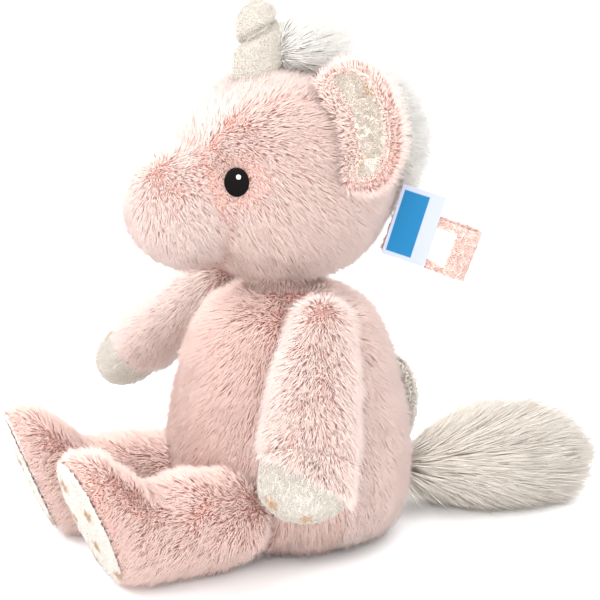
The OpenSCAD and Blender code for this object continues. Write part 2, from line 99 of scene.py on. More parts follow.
def surface(obj):
    """The places and the outward directions of an object's vertices."""
    count = len(obj.data.vertices)
    points, normals = np.empty(count * 3), np.empty(count * 3)
    obj.data.vertices.foreach_get("co", points)
    obj.data.vertex_normals.foreach_get("vector", normals)
    return points.reshape(-1, 3), normals.reshape(-1, 3)


def moved(obj, points):
    """Puts an object's vertices at new places."""
    obj.data.vertices.foreach_set("co", np.asarray(points).ravel())
    obj.data.update()


def knitted(name, *nodes, voxel, inset, rounds=5):
    """The knitted ground of a cover: the nodes' outer shape, evened out and a little smaller."""
    obj = welded(name, *nodes)
    remesh = obj.modifiers.new("Even", "REMESH")
    remesh.mode = "VOXEL"
    remesh.voxel_size = voxel
    soften = obj.modifiers.new("Soften", "SMOOTH")
    soften.factor = 0.5
    soften.iterations = rounds
    applied(obj)
    points, normals = surface(obj)
    moved(obj, points - normals * inset)
    obj.data.polygons.foreach_set("use_smooth", [True] * len(obj.data.polygons))
    return obj


def shape_of(*nodes):
    """A search tree over the outer shape of some nodes."""
    shape = bmesh.new()
    for node in nodes:
        shape.from_mesh(frame["nodes"][node].data)
    tree = BVHTree.FromBMesh(shape)
    shape.free()
    return tree


def room(points, tree, reach=0.03):
    """How far each point is from a shape, up to reach."""
    out = np.full(len(points), reach)
    for index, point in enumerate(points):
        distance = tree.find_nearest(point, reach)[3]
        if distance is not None:
            out[index] = distance
    return out


def unit(vectors):
    """The vectors at length one."""
    vectors = np.asarray(vectors, float)
    return vectors / np.maximum(np.linalg.norm(vectors, axis=-1, keepdims=True), 1e-9)


def along(normals, ways):
    """The part of each way that lies in the surface, at length one but where it fades out."""
    ways = unit(np.broadcast_to(np.asarray(ways, float), normals.shape))
    flat = ways - (ways * normals).sum(1, keepdims=True) * normals
    return flat / np.maximum(np.linalg.norm(flat, axis=1, keepdims=True), 0.45)


def step(low, high, values):
    """0 below low, 1 above high and smooth between."""
    share = np.clip((np.asarray(values, float) - low) / (high - low), 0, 1)
    return share * share * (3 - 2 * share)


def trimmed(free, length, slack=0.002, least=0.15):
    """The share of its length that pile keeps where a neighbour leaves it little room."""
    lying = 0.65 * length
    return np.clip((free + slack) / lying, least, 1.0)


def off_floor(points, full=0.007, least=0.15):
    """The share of its length that pile keeps near the floor, where it is pressed flat."""
    return step(-0.001, full, points[:, 2]) * (1 - least) + least


class Wire:
    """A node's socket. Python's operators on it add Math nodes to its tree."""

    def __init__(self, tree, socket=None):
        self.tree = tree
        self.socket = socket

    def node(self, kind, settings=None, sockets=None, out=0):
        made = self.tree.nodes.new(kind)
        for key, value in (settings or {}).items():
            setattr(made, key, value)
        for key, value in (sockets or {}).items():
            if isinstance(value, Wire):
                self.tree.links.new(value.socket, made.inputs[key])
            else:
                made.inputs[key].default_value = value
        return Wire(self.tree, made.outputs[out])

    def out(self, index):
        return Wire(self.tree, self.socket.node.outputs[index])

    def math(self, operation, *values):
        return self.node("ShaderNodeMath", {"operation": operation}, dict(enumerate(values)))

    def vector(self, operation, *values, out=0):
        return self.node(
            "ShaderNodeVectorMath", {"operation": operation}, dict(enumerate(values)), out
        )

    def times(self, scale):
        return self.node("ShaderNodeVectorMath", {"operation": "SCALE"}, {0: self, 3: scale})

    def blend(self, other, factor):
        return self.node(
            "ShaderNodeMix", {"data_type": "RGBA"}, {0: factor, 6: self, 7: other}, out=2
        )

    def __add__(self, other):
        return self.math("ADD", self, other)

    __radd__ = __add__

    def __sub__(self, other):
        return self.math("SUBTRACT", self, other)

    def __rsub__(self, other):
        return self.math("SUBTRACT", other, self)

    def __mul__(self, other):
        return self.math("MULTIPLY", self, other)

    __rmul__ = __mul__

    def __truediv__(self, other):
        return self.math("DIVIDE", self, other)

    def __rtruediv__(self, other):
        return self.math("DIVIDE", other, self)


def pile_tree():
    """Closed pointed strands of pile, rooted on a mesh that carries how they lie."""
    swirls, mottles = 90.0, 60.0
    stray_share, widening, mottle_share = 0.45, 1.1, 1.2
    longest, shortest, thickest, thinnest = 1.12, 0.72, 1.15, 0.75
    tree = bpy.data.node_groups.new("Pile", "GeometryNodeTree")
    sockets = [
        ("Geometry", "Geometry"),
        ("Density", "Float"),
        ("Length", "Float"),
        ("Thickness", "Float"),
        ("Stand", "Float"),
        ("Bend", "Float"),
        ("Wander", "Float"),
        ("Tuft", "Float"),
        ("Gather", "Float"),
        ("Segments", "Int"),
        ("Floor", "Float"),
        ("Seed", "Int"),
        ("Material", "Material"),
    ]
    for name, kind in sockets:
        tree.interface.new_socket(name, in_out="INPUT", socket_type="NodeSocket" + kind)
    tree.interface.new_socket("Geometry", in_out="OUTPUT", socket_type="NodeSocketGeometry")
    start = tree.nodes.new("NodeGroupInput")
    given = {socket.name: Wire(tree, socket) for socket in start.outputs if socket.name}
    new = Wire(tree).node

    def carried(name, kind="FLOAT"):
        return new("GeometryNodeInputNamedAttribute", {"data_type": kind}, {0: name})

    def stored(geometry, name, value, domain, kind="FLOAT"):
        return new(
            "GeometryNodeStoreNamedAttribute",
            {"data_type": kind, "domain": domain},
            {"Geometry": geometry, "Name": name, "Value": value},
        )

    def random(low, high, seed):
        return new(
            "FunctionNodeRandomValue",
            {"data_type": "FLOAT"},
            {2: low, 3: high, 8: given["Seed"] + seed},
            out=1,
        )

    place = new("GeometryNodeInputPosition")
    roots = new(
        "GeometryNodeDistributePointsOnFaces",
        {"distribute_method": "RANDOM"},
        {
            "Mesh": given["Geometry"],
            "Density": given["Density"] * carried("cover"),
            "Seed": given["Seed"],
        },
    )
    normal = roots.out(1)
    comb = carried("comb", "FLOAT_VECTOR")
    swirl = new("ShaderNodeTexNoise", {}, {"Vector": place, "Scale": swirls, "Detail": 2.0}, out=1)
    swirl = swirl.vector("SUBTRACT", swirl, (0.5, 0.5, 0.5)).times(given["Wander"] * 2.0)
    stray = new(
        "FunctionNodeRandomValue",
        {"data_type": "FLOAT_VECTOR"},
        {0: (-1.0, -1.0, -1.0), 1: (1.0, 1.0, 1.0), 8: given["Seed"] + 3},
    ).times(given["Wander"] * stray_share)
    cell = new(
        "ShaderNodeTexVoronoi", {}, {"Vector": place, "Scale": 1.0 / given["Tuft"]}, out=2
    )
    to_tuft = cell.vector("SUBTRACT", cell, place).times(given["Gather"])
    length = given["Length"] * carried("cut") * random(shortest, longest, 11)
    way = normal.times(given["Stand"]).vector(
        "ADD", normal.times(given["Stand"]), comb.times(1.0 - given["Stand"])
    )
    way = way.vector("ADD", way, swirl)
    way = way.vector("ADD", way, stray)
    lean = comb.vector("ADD", comb, swirl).times(length * given["Bend"])
    lean = lean.vector("ADD", lean, to_tuft)
    turned = new("FunctionNodeAlignRotationToVector", {"axis": "Z"}, {"Vector": way})
    spin = new(
        "FunctionNodeAxisAngleToRotation",
        {},
        {"Axis": (0.0, 0.0, 1.0), "Angle": random(0, 6.28, 5)},
    )
    turned = new(
        "FunctionNodeRotateRotation",
        {"rotation_space": "LOCAL"},
        {"Rotation": turned, "Rotate By": spin},
    )

    strand = new(
        "GeometryNodeMeshCone",
        {"fill_type": "NGON"},
        {
            "Vertices": 3,
            "Side Segments": given["Segments"],
            "Radius Top": 0.0,
            "Radius Bottom": 1.0,
            "Depth": 1.0,
        },
    )
    height = new("ShaderNodeSeparateXYZ", {}, {0: place}, out=2)
    strand = stored(strand, "rise", height, "POINT")
    flat = place.vector("MULTIPLY", place, (1.0, 1.0, 0.0)).times(height * widening)
    strand = new("GeometryNodeSetPosition", {}, {"Geometry": strand, "Offset": flat})
    girth = given["Thickness"] * random(thinnest, thickest, 17)
    size = new("ShaderNodeCombineXYZ", {}, {0: girth, 1: girth, 2: length})
    pile = new(
        "GeometryNodeInstanceOnPoints",
        {},
        {"Points": roots, "Instance": strand, "Rotation": turned, "Scale": size},
    )
    mottle = new("ShaderNodeTexNoise", {}, {"Vector": place, "Scale": mottles, "Detail": 3.0})
    shade = (mottle - 0.5) * mottle_share + random(-0.5, 0.5, 23)
    pile = stored(pile, "lean", lean, "INSTANCE", "FLOAT_VECTOR")
    pile = stored(pile, "shade", shade, "INSTANCE")
    pile = new("GeometryNodeRealizeInstances", {}, {"Geometry": pile})
    rise = carried("rise")
    pile = new(
        "GeometryNodeSetPosition",
        {},
        {"Geometry": pile, "Offset": carried("lean", "FLOAT_VECTOR").times(rise * rise)},
    )
    apart = new("ShaderNodeSeparateXYZ", {}, {0: place})
    kept = new(
        "ShaderNodeCombineXYZ",
        {},
        {0: apart, 1: apart.out(1), 2: apart.math("MAXIMUM", apart.out(2), given["Floor"])},
    )
    pile = new("GeometryNodeSetPosition", {}, {"Geometry": pile, "Position": kept})
    pile = new("GeometryNodeSetShadeSmooth", {}, {"Geometry": pile})
    pile = new(
        "GeometryNodeSetMaterial", {}, {"Geometry": pile, "Material": given["Material"]}
    )
    end = tree.nodes.new("NodeGroupOutput")
    tree.links.new(pile.socket, end.inputs[0])
    return tree


pile_nodes = pile_tree()
pile_input = {
    item.name: item.identifier
    for item in pile_nodes.interface.items_tree
    if item.in_out == "INPUT"
}


def pile(name, ground, finish, comb, cover, cut=1.0, deep=0.0, ink=0.0, **sizes):
    """The pile of one panel, as a plain mesh of strands rooted on a ground.

    comb is the way it lies, cover where it grows, cut its share of the full length, deep how far
    its root colour shows as painted shade, and ink where it is printed.
    """
    obj = placed(name, ground.data.copy())
    count = len(obj.data.vertices)
    for key, values in (("cover", cover), ("cut", cut), ("deep", deep), ("ink", ink)):
        layer = obj.data.attributes.new(key, "FLOAT", "POINT")
        layer.data.foreach_set("value", np.broadcast_to(values, count).astype(np.float32))
    layer = obj.data.attributes.new("comb", "FLOAT_VECTOR", "POINT")
    layer.data.foreach_set("vector", np.asarray(comb, np.float32).ravel())
    grow = obj.modifiers.new("Pile", "NODES")
    grow.node_group = pile_nodes
    settings = {
        "Density": 2.1e6,
        "Length": 0.0075,
        "Thickness": 0.00025,
        "Stand": 0.60,
        "Bend": 0.45,
        "Wander": 0.35,
        "Tuft": 0.004,
        "Gather": 0.3,
        "Segments": 1,
        "Floor": 0.0003,
        "Seed": 1,
    }
    settings.update(sizes)
    for key, value in settings.items():
        grow[pile_input[key]] = value
    grow[pile_input["Material"]] = finish
    applied(obj)
    for key in ("comb", "lean", "cover", "cut"):
        layer = obj.data.attributes.get(key)
        if layer:
            obj.data.attributes.remove(layer)
    return obj


def pile_finish(name, root, tip, ink=(0.60, 0.40, 0.22), sheen=0.03, mottling=0.45):
    """Matt polyester pile. The deeper root colour is painted shade deep in the pile; it shows
    further up in the partings and folds, where more painted shade is asked for, and in random
    patches.
    """
    material = bpy.data.materials.new(name)
    material.use_nodes = True
    shader = material.node_tree.nodes["Principled BSDF"]
    shader.inputs["Roughness"].default_value = 0.85
    shader.inputs["Specular IOR Level"].default_value = 0.08
    shader.inputs["Sheen Weight"].default_value = sheen
    shader.inputs["Sheen Roughness"].default_value = 0.5
    new = Wire(material.node_tree).node

    def carried(key):
        return new("ShaderNodeAttribute", {"attribute_name": key}, out=2)

    shadow_reach, quick_rise, least_tip, darkening = 0.75, 2.2, 0.25, 0.05
    height = carried("rise") * (1.0 - carried("deep") * shadow_reach)
    height = height * quick_rise + least_tip - carried("shade") * mottling
    height = height.math("MAXIMUM", height.math("SMOOTH_MIN", height, 1.0, 0.2), 0.0)
    colour = new("ShaderNodeMix", {"data_type": "RGBA"}, {0: height, 6: root, 7: tip}, out=2)
    colour = colour.blend((*ink, 1.0), carried("ink"))
    colour = colour.times(1.0 - carried("shade") * darkening)
    material.node_tree.links.new(colour.socket, shader.inputs["Base Color"])
    return material


def plain_finish(name, colour, rough=0.9, sheen=0.3):
    """One flat colour of cloth."""
    material = bpy.data.materials.new(name)
    material.use_nodes = True
    shader = material.node_tree.nodes["Principled BSDF"]
    shader.inputs["Base Color"].default_value = (*colour, 1.0)
    shader.inputs["Roughness"].default_value = rough
    shader.inputs["Sheen Weight"].default_value = sheen
    shader.inputs["Specular IOR Level"].default_value = 0.2
    return material


# Root colours are deeper than the tips: painted shade deep in the pile.
rose_root = (0.95, 0.46, 0.38, 1.0)
rose_tip = (0.98, 0.75, 0.685, 1.0)
blush_root = (0.98, 0.51, 0.43, 1.0)
blush_tip = (0.97, 0.785, 0.73, 1.0)
pink_ground = plain_finish("Pink knit", (0.90, 0.56, 0.49))
rose_pile = pile_finish("Deeper pink pile", rose_root, rose_tip)
blush_pile = pile_finish("Pale pink pile", blush_root, blush_tip)


def panels(points, *nodes):
    """The nearest of some panels to each point, and how far the point is from their seams."""
    away = np.array([room(points, shape_of(node), 0.08) for node in nodes])
    ranked = np.sort(away, axis=0)
    return away.argmin(0), np.sqrt(np.maximum(ranked[1] ** 2 - ranked[0] ** 2, 0))


def on_body(body, slot, pieces, *nodes, fill=None):
    """Fixes pieces to a body, in place of the nodes they stand for."""
    for piece in pieces:
        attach(piece, body)
    if nodes:
        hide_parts(*nodes)


torso = knitted("torso_ground", "torso_stuffing", voxel=torso_voxel, inset=torso_inset)
torso.data.materials.append(pink_ground)
points, normals = surface(torso)
panel, seam = panels(points, "torso_front", "torso_back")
limbs = shape_of(
    "arm_left_sleeve",
    "arm_right_sleeve",
    "leg_left_cover",
    "leg_right_cover",
    "tail_fur",
    "tail_backing",
    "head_left",
    "head_right",
    "head_gusset",
    "neck_stuffing",
)
free = room(points, limbs)
cut = trimmed(free, torso_pile, slack=0.0015) * off_floor(points)
# Along the seams the pile is shorter and shows more of its root colour, as painted shade in the
# partings.
parting = 1 - step(0.0, parting_width, seam)
comb = along(normals, (0, 0, -1))
shown = (free > touching) & ~((points[:, 2] < seat_height) & (normals[:, 2] < -0.8))
torso_piles = [
    pile(
        name,
        torso,
        finish,
        comb,
        shown & (panel == index),
        cut * (1 - parting_cut * parting),
        deep=parting * parting_deep,
        Density=1.85e6,
        Thickness=0.00027,
        Length=torso_pile,
        Seed=index + 1,
    )
    for index, (name, finish) in enumerate(
        (("torso_front_pile", rose_pile), ("torso_back_pile", blush_pile))
    )
]
on_body("torso", "pink_plush", [torso], "torso_stuffing", fill=0.7)
on_body("torso", "deep_pink_plush", torso_piles[:1], "torso_front")
on_body("torso", "pink_plush", torso_piles[1:], "torso_back")

# Tuft on the lower back ----------------------------------------------------------------------
# A small rounded pad of cream fleece, stuffed, and sewn to the back panel above the tail. Its
# fleece is that of the horn and paws, left a little longer.
cream_root = (0.69, 0.64, 0.58, 1.0)
cream_tip = (0.73, 0.68, 0.62, 1.0)
star_gold = (0.64, 0.43, 0.27)
cream_pile = pile_finish("Cream fleece pile", cream_root, cream_tip, ink=star_gold, mottling=0.1)
cream_ground = plain_finish("Cream knit", (0.71, 0.66, 0.60))
pouch = knitted("back_pouch_ground", "back_pouch", voxel=0.0012, inset=0.001)
pouch.data.materials.append(cream_ground)
points, normals = surface(pouch)
pouch_pile = pile(
    "back_pouch_pile",
    pouch,
    cream_pile,
    along(normals, (0, 0, -1)),
    1.0,
    Density=1.3e6,
    Length=0.004,
    Thickness=0.0004,
    Seed=5,
)
on_body("torso", "cream_fleece", [pouch, pouch_pile], "back_pouch", fill=0.6)

# Neck ----------------------------------------------------------------------------------------
# The stuffing that bulges up between torso and head, inside the same pink plush. The head turns
# and nods on it.
neck = knitted("neck_ground", "neck_stuffing", voxel=0.002, inset=0.002)
neck.data.materials.append(pink_ground)
points, normals = surface(neck)
neck_pile = pile(
    "neck_pile",
    neck,
    rose_pile,
    along(normals, (0, 0, -1)),
    np.abs(normals[:, 2]) < 0.75,
    0.8,
    Stand=0.7,
    Seed=6,
)
on_body("neck", "pink_plush", [neck, neck_pile], "neck_stuffing", fill=0.9)

# Head ----------------------------------------------------------------------------------------
# Two cheek panels with a wide gusset between them from the nose over the crown to the nape,
# and a round muzzle sewn on in front. The gusset and muzzle are the same pink plush, given a paler
# pile as painted light on the top of the head and the nose. The pile is brushed away from the nose
# and closes over the muzzle's seam, so the crease there is soft, with painted shade in the
# partings.
head_pile = 0.0072
crease_rounds = 40
crease_width = (0.004, 0.016)
near_eye = (0.004, 0.014)
near_nose = (0.015, 0.07)
eye_ring = 0.0028
head_parting = 0.005
muzzle_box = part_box("muzzle_cover")
muzzle_reach = (muzzle_box[1].x - muzzle_box[0].x) / 2
muzzle_middle = (np.array(muzzle_box[0]) + np.array(muzzle_box[1])) / 2
nose = np.array([0.0, muzzle_box[0].y, muzzle_box[0].z + muzzle_reach * 0.9])
# The gusset and muzzle get a paler copy of the pink pile: painted light on the top of the head and
# the nose.
lit_pale_tip = (0.99, 0.83, 0.78, 1.0)
lit_pale_root = (0.98, 0.62, 0.54, 1.0)
lit_pale_pile = pile_finish("Pink pile painted lighter", lit_pale_root, lit_pale_tip)
head = knitted("head_ground", "head_stuffing", voxel=0.0028, inset=0.0016)
head.data.materials.append(pink_ground)
points, normals = surface(head)
snout = np.abs(np.linalg.norm(points - muzzle_middle, axis=1) - muzzle_reach)
eye_gap = room(points, shape_of("eye_left", "eye_right"))
valley = (1 - step(*crease_width, snout)) * step(*near_eye, eye_gap)
crease = head.vertex_groups.new(name="Crease")
for index, weight in enumerate(valley):
    if weight > 0:
        crease.add([index], float(weight), "REPLACE")
soften = head.modifiers.new("Crease", "SMOOTH")
soften.vertex_group = "Crease"
soften.factor = 0.5
soften.iterations = crease_rounds
applied(head)
head.vertex_groups.clear()
points, normals = surface(head)
panel, seam = panels(points, "head_left", "head_right", "head_gusset", "muzzle_cover")
others = shape_of(
    "torso_front",
    "torso_back",
    "neck_stuffing",
    "ear_left_back",
    "ear_right_back",
    "ear_left_lining",
    "ear_right_lining",
    "arm_left_sleeve",
    "arm_right_sleeve",
    "horn_cover",
    "forelock",
    "mane",
    "woven_label",
    "hanging_loop",
)
free = room(points, others)
eye_gap = room(points, shape_of("eye_left", "eye_right"))
cut = trimmed(free, head_pile)
cut *= 0.45 + 0.55 * step(*near_eye, eye_gap)
from_nose = np.linalg.norm(points - nose, axis=1)
cut *= 0.75 + 0.25 * step(*near_nose, from_nose)
parting = 1 - step(0.0, head_parting, seam)
shown = (free > touching) & (eye_gap > eye_ring)
away = unit(points - nose)
combs = {
    "cheek": along(normals, away * 0.7 + (0, 0.15, -0.75)),
    "gusset": along(normals, away + (0, 0.3, 0.3)),
    "muzzle": along(normals, (0, 0.55, -0.8)),
}
head_panels = (
    ("head_left_pile", "head_left", blush_pile, "cheek"),
    ("head_right_pile", "head_right", blush_pile, "cheek"),
    ("head_gusset_pile", "head_gusset", lit_pale_pile, "gusset"),
    ("muzzle_pile", "muzzle_cover", lit_pale_pile, "muzzle"),
)
on_body("head", "pink_plush", [head], "head_stuffing", fill=0.8)
# Along the seams, the muzzle's too, more root colour shows as painted shade in the partings.
for index, (name, node, finish, way) in enumerate(head_panels):
    piece = pile(
        name,
        head,
        finish,
        combs[way],
        shown & (panel == index),
        cut * (1 - parting_cut * parting),
        deep=parting * 0.7,
        Length=head_pile,
        Seed=10 + index,
    )
    on_body("head", "pink_plush", [piece], node)

# Eyes ----------------------------------------------------------------------------------------
# Satin stitch in near-black thread, padded so that it stands in a low dome, with a small white
# glint stitched on top. The threads run side by side across the eye.
thread_pitch = 0.00045
thread_rise = 0.00012
eye_dome = 0.0016
eye_seat = 0.0012
glint_lift = 0.0014
glint_size = (0.0013, 0.0012, 0.0005)
eye_black = plain_finish("Black thread", (0.004, 0.003, 0.003), rough=0.5, sheen=0.0)
eye_black.node_tree.nodes["Principled BSDF"].inputs["Specular IOR Level"].default_value = 0.06
glint_white = plain_finish("White thread", (0.92, 0.92, 0.92), rough=0.5, sheen=0.1)


def plane_of(node):
    """The middle of a flat node and its long, short and outward directions."""
    corners = np.array([v.co for v in frame["nodes"][node].data.vertices], float)
    middle = (corners.min(0) + corners.max(0)) / 2
    values, ways = np.linalg.eigh(np.cov((corners - corners.mean(0)).T))
    return middle, ways[:, 2], ways[:, 1], ways[:, 0], corners


def closed(name, verts, faces, finish, merge=0.0, smooth=True):
    """A closed mesh with its faces outwards. Vertices nearer than merge become one."""
    mesh = bpy.data.meshes.new(name)
    mesh.from_pydata([tuple(place) for place in verts], [], faces)
    shape = bmesh.new()
    shape.from_mesh(mesh)
    if merge:
        bmesh.ops.remove_doubles(shape, verts=shape.verts, dist=merge)
        bmesh.ops.dissolve_degenerate(shape, edges=shape.edges, dist=merge / 20)
    bmesh.ops.recalc_face_normals(shape, faces=shape.faces)
    shape.to_mesh(mesh)
    shape.free()
    mesh.polygons.foreach_set("use_smooth", [smooth] * len(mesh.polygons))
    mesh.materials.append(finish)
    return placed(name, mesh)


def satin(name, middle, across, upward, out, half_w, half_h, dome, finish):
    """A domed oval of side-by-side threads, closed underneath."""
    columns = max(int(2 * half_w / thread_pitch), 3) * 5
    rows = 28
    verts, faces = [], []
    for face_side in (1, 0):
        for row in range(rows + 1):
            v = math.cos(math.pi * row / rows)
            for column in range(columns + 1):
                u = -1 + 2 * column / columns
                width = math.sqrt(max(1 - u * u, 0.0))
                thread = abs(math.sin(math.pi * column / 5))
                bulge = max(1 - u * u - (v * width) ** 2, 0.0)
                lift = dome * bulge**0.6 + thread_rise * thread * min(1.0, bulge * 6)
                lift = lift if face_side else -0.0025 * bulge**0.5
                verts.append(
                    middle + across * u * half_w + upward * v * width * half_h + out * lift
                )
    stride = columns + 1
    half = (rows + 1) * stride
    for row in range(rows):
        for column in range(columns):
            a = row * stride + column
            faces.append((a, a + stride, a + stride + 1, a + 1))
            faces.append((half + a, half + a + 1, half + a + stride + 1, half + a + stride))
    return closed(name, verts, faces, finish, merge=2e-5)


for side in ("left", "right"):
    middle, across, upward, out, corners = plane_of("eye_" + side)
    out = out if out @ (middle - np.array([0, middle[1] + 0.02, middle[2]])) > 0 else -out
    upward = unit(np.array([0.0, 0.0, 1.0]) - out * out[2])
    across = np.cross(upward, out)
    spread = corners - corners.mean(0)
    half_w = np.abs(spread @ across).max() * 0.90
    half_h = np.abs(spread @ upward).max() * 0.97
    front = (spread @ out).max()
    seat = corners.mean(0) + out * (front - eye_seat)
    facing = (across, upward, out)
    eye = satin("eye_" + side + "_stitch", seat, *facing, half_w, half_h, eye_dome, eye_black)
    on_body("head", "black_thread", [eye], "eye_" + side)
    spot = plane_of("eye_glint_" + side)[4].mean(0)
    spot = spot + out * ((seat - spot) @ out + glint_lift)
    glint = satin("eye_glint_" + side + "_stitch", spot, *facing, *glint_size, glint_white)
    on_body("head", "white_thread", [glint], "eye_glint_" + side)

# Horn ----------------------------------------------------------------------------------------
# A cone of cream fleece, stuffed, with strong thread wound round it that pinches it into rolls. It
# is sewn into the crown and leans a little.
horn_rolls = 1.55
horn_radius = 0.0128
horn_taper = 0.0026
tip_start = 0.68
pinch_depth = 0.42
pinch_width = 0.07
fleece_nap = {
    "Density": 3.2e6,
    "Length": 0.0014,
    "Thickness": 0.00022,
    "Stand": 0.45,
    "Wander": 0.35,
}
low, high = (np.array(corner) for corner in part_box("horn_cover"))
horn_height = high[2] - low[2] - 0.001
horn_foot = np.array([0.0, low[1] + 0.0125, low[2] - 0.0015])
horn_lean = np.array([0.0, (high[1] - low[1] - 0.0215) / horn_height, 1.0])


def roll_radius(share, angle):
    """The horn's radius at a share of its height, pinched along the winding."""
    full = horn_radius - horn_taper * share
    dome = math.sqrt(max(1 - max((share - tip_start) / (1 - tip_start), 0) ** 2, 0.0))
    turn_here = share * horn_rolls - angle / math.tau
    gap = abs(turn_here - round(turn_here)) / horn_rolls
    inner = min(1.0, share * 8) * min(1.0, (1 - share) * 5)
    return full * dome * (1 - pinch_depth * math.exp(-((gap / pinch_width) ** 2)) * inner)


verts, faces = [], []
rounds, levels = 72, 60
for level in range(levels + 1):
    share = level / levels
    for index in range(rounds):
        angle = math.tau * index / rounds
        radius = max(roll_radius(share, angle), 0.0002)
        around = np.array([math.cos(angle), math.sin(angle), 0.0]) * radius
        verts.append(tuple(horn_foot + horn_lean * horn_height * share + around))
for level in range(levels):
    for index in range(rounds):
        a, b = level * rounds + index, level * rounds + (index + 1) % rounds
        faces.append((a, b, b + rounds, a + rounds))
faces.append(tuple(reversed(range(rounds))))
faces.append(tuple(range(levels * rounds, (levels + 1) * rounds)))
horn = closed("horn_ground", verts, faces, cream_ground)
points, normals = surface(horn)
turns = (points[:, 2] - horn_foot[2]) / horn_height * horn_rolls
turns = turns - np.arctan2(
    points[:, 1] - horn_foot[1] - horn_lean[1] * (points[:, 2] - horn_foot[2]),
    points[:, 0] - horn_foot[0],
) / math.tau
pinch = 1 - step(0.0, 0.10, np.abs(turns - np.round(turns)))
# In the pinches the pile is shorter and shows more root colour, as painted shade in the grooves.
horn_pile = pile(
    "horn_pile",
    horn,
    cream_pile,
    along(normals, (0, 0, 1)),
    1.0,
    1 - 0.4 * pinch,
    deep=pinch * 0.8,
    **fleece_nap,
    Tuft=0.002,
    Seed=30,
)
on_body("head", "cream_fleece", [horn, horn_pile], "horn_stuffing", "horn_cover", fill=0.7)
winding = plain_finish("Winding thread", (0.80, 0.70, 0.62), rough=0.6)
verts, faces = [], []
sides, steps_along, thread_half = 6, 110, 0.0004
wound_from, wound_to = 0.10, 0.90
for index in range(steps_along + 1):
    share = wound_from + (wound_to - wound_from) * index / steps_along
    angle = math.tau * (share * horn_rolls - 1) % math.tau
    middle = horn_foot + horn_lean * horn_height * share
    reach = roll_radius(share, angle) + 0.0001
    out = np.array([math.cos(angle), math.sin(angle), 0.0])
    for corner in range(sides):
        spin = math.tau * corner / sides
        verts.append(
            tuple(
                middle
                + out * (reach + thread_half * math.cos(spin))
                + np.array([0, 0, thread_half * math.sin(spin)])
            )
        )
for index in range(steps_along):
    for corner in range(sides):
        a = index * sides + corner
        b = index * sides + (corner + 1) % sides
        faces.append((a, a + sides, b + sides, b))
faces.append(tuple(range(sides)))
faces.append(tuple(reversed(range(steps_along * sides, (steps_along + 1) * sides))))
wound = closed("horn_winding", verts, faces, winding)
on_body("head", "white_thread", [wound], "horn_thread")

# Mane and forelock ---------------------------------------------------------------------------
# Strips of white long pile, sewn in behind the horn and down the middle of the head to the nape.
# The pile falls back and down.
white_root = (0.93, 0.90, 0.85, 1.0)
white_tip = (0.95, 0.93, 0.89, 1.0)
white_pile = pile_finish("White long pile", white_root, white_tip)
white_ground = plain_finish("White knit", (1.0, 0.97, 0.92))
head_middle = np.array([0.0, 0.0, 0.19])
for index, node in enumerate(("forelock", "mane")):
    strip = knitted(node + "_ground", node, voxel=0.0022, inset=0.0018)
    strip.data.materials.append(white_ground)
    points, normals = surface(strip)
    free = room(points, shape_of("ear_left_back", "ear_right_back", "horn_cover"))
    hair = pile(
        node + "_pile",
        strip,
        white_pile,
        along(normals, unit(points - head_middle) * 0.6 + (0, 0.6, -0.5)),
        1.0,
        np.clip((free + 0.002) / 0.009, 0.2, 1.0),
        Density=2.4e6,
        Length=0.0120,
        Stand=0.50,
        Wander=0.35,
        Tuft=0.005,
        Seed=40 + index,
    )
    on_body("head", "white_fur", [strip, hair], node, fill=0.5)

# Ears ----------------------------------------------------------------------------------------
# Each ear is a cup of pink plush with a lining of cream fleece printed with small gold stars. It
# is folded at the bottom and sewn into the gusset's seam.
star_tip = 0.0050
# The lining gets a darker copy of the cream fleece: painted shade, as the lamps light the open cup
# strongly.
shaded_lining_root = (0.62, 0.51, 0.44, 1.0)
shaded_lining_tip = (0.68, 0.60, 0.53, 1.0)
shaded_lining_pile = pile_finish(
    "Ear fleece pile", shaded_lining_root, shaded_lining_tip, ink=star_gold, mottling=0.1
)


def printed(points, normals, places, size):
    """Where five-pointed stars of that size, centred at places, are printed on a surface."""
    ink = np.zeros(len(points))
    for index, (place, out) in enumerate(places):
        out = unit(out)
        first = unit(np.cross(out, (0.3, 0.2, 1.0)))
        second = np.cross(out, first)
        offset = points - place
        u, v = offset @ first, offset @ second
        angle = np.mod(np.arctan2(v, u) + index, math.tau / 5)
        angle = np.minimum(angle, math.tau / 5 - angle)
        inner = size * 0.45
        edge = size * inner * math.sin(math.pi / 5)
        edge /= size * np.sin(angle) + inner * np.sin(math.pi / 5 - angle)
        near = np.abs(offset @ out) < 0.012
        facing = normals @ out > 0.2
        ink = np.maximum(ink, (1 - step(-0.0004, 0.0004, np.hypot(u, v) - edge)) * near * facing)
    return ink


